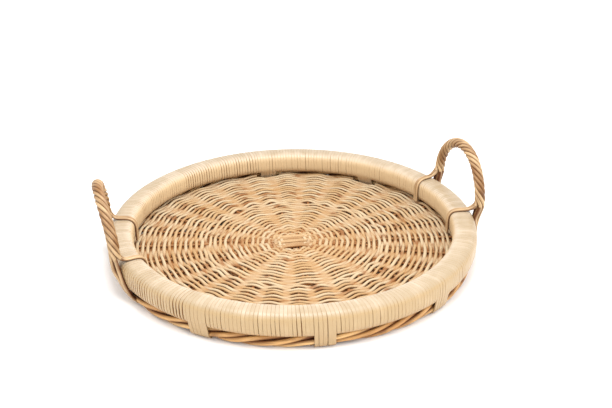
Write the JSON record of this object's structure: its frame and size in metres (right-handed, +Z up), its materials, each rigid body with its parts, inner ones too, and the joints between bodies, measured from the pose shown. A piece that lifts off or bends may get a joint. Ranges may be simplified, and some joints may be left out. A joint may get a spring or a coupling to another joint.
{
  "type": "round rattan tray basket",
  "caption": "Shallow round rattan tray basket: woven floor on crossed stakes, cane-wrapped pole rim lashed to a twisted foot border, and a fixed twisted rope handle at each side.",
  "frame": {"origin": "on the ground under the middle of the basket's footprint", "axes": "+Z up, +X to the right-hand handle side, +Y to the back, so the picture looks from -Y"},
  "size_m": [0.4236, 0.4, 0.1068],
  "materials": {
    "hoop_pole": "matt bare cane",
    "peel_wrap": "satin peel cane",
    "peel_lashing": "satin peel cane",
    "border_cane": "satin round cane",
    "stake_cane": "matt round cane",
    "weaver_cane": "matt round cane",
    "handle_core": "matt round cane",
    "rope_cane": "satin round cane"
  },
  "bodies": {
    "root": {"rim_core": "hoop_pole", "rim_wrap_1": "peel_wrap", "rim_wrap_2": "peel_wrap", "rim_wrap_3": "peel_wrap", "rim_wrap_4": "peel_wrap", "rim_wrap_5": "peel_wrap", "lashing_1": "peel_lashing", "lashing_2": "peel_lashing", "lashing_3": "peel_lashing", "lashing_4": "peel_lashing", "lashing_5": "peel_lashing", "border_rod_1": "border_cane", "border_rod_2": "border_cane", "border_rod_3": "border_cane", "border_rod_4": "border_cane", "stake_along_1": "stake_cane", "stake_along_2": "stake_cane", "stake_along_3": "stake_cane", "stake_along_4": "stake_cane", "stake_along_5": "stake_cane", "stake_along_6": "stake_cane", "stake_along_7": "stake_cane", "stake_along_8": "stake_cane", "stake_across_1": "stake_cane", "stake_across_2": "stake_cane", "stake_across_3": "stake_cane", "stake_across_4": "stake_cane", "stake_across_5": "stake_cane", "stake_across_6": "stake_cane", "weaver_inner_1": "weaver_cane", "weaver_inner_2": "weaver_cane", "weaver_inner_3": "weaver_cane", "weaver_inner_4": "weaver_cane", "weaver_inner_5": "weaver_cane", "weaver_inner_6": "weaver_cane", "weaver_outer_1": "weaver_cane", "weaver_outer_2": "weaver_cane", "weaver_outer_3": "weaver_cane", "weaver_outer_4": "weaver_cane", "weaver_outer_5": "weaver_cane", "weaver_outer_6": "weaver_cane", "handle_right_core": "handle_core", "handle_left_core": "handle_core", "handle_right_strand_1": "rope_cane", "handle_right_strand_2": "rope_cane", "handle_right_strand_3": "rope_cane", "handle_right_strand_4": "rope_cane", "handle_right_strand_5": "rope_cane", "handle_right_strand_6": "rope_cane", "handle_left_strand_1": "rope_cane", "handle_left_strand_2": "rope_cane", "handle_left_strand_3": "rope_cane", "handle_left_strand_4": "rope_cane", "handle_left_strand_5": "rope_cane", "handle_left_strand_6": "rope_cane"}
  },
  "joints": []
}
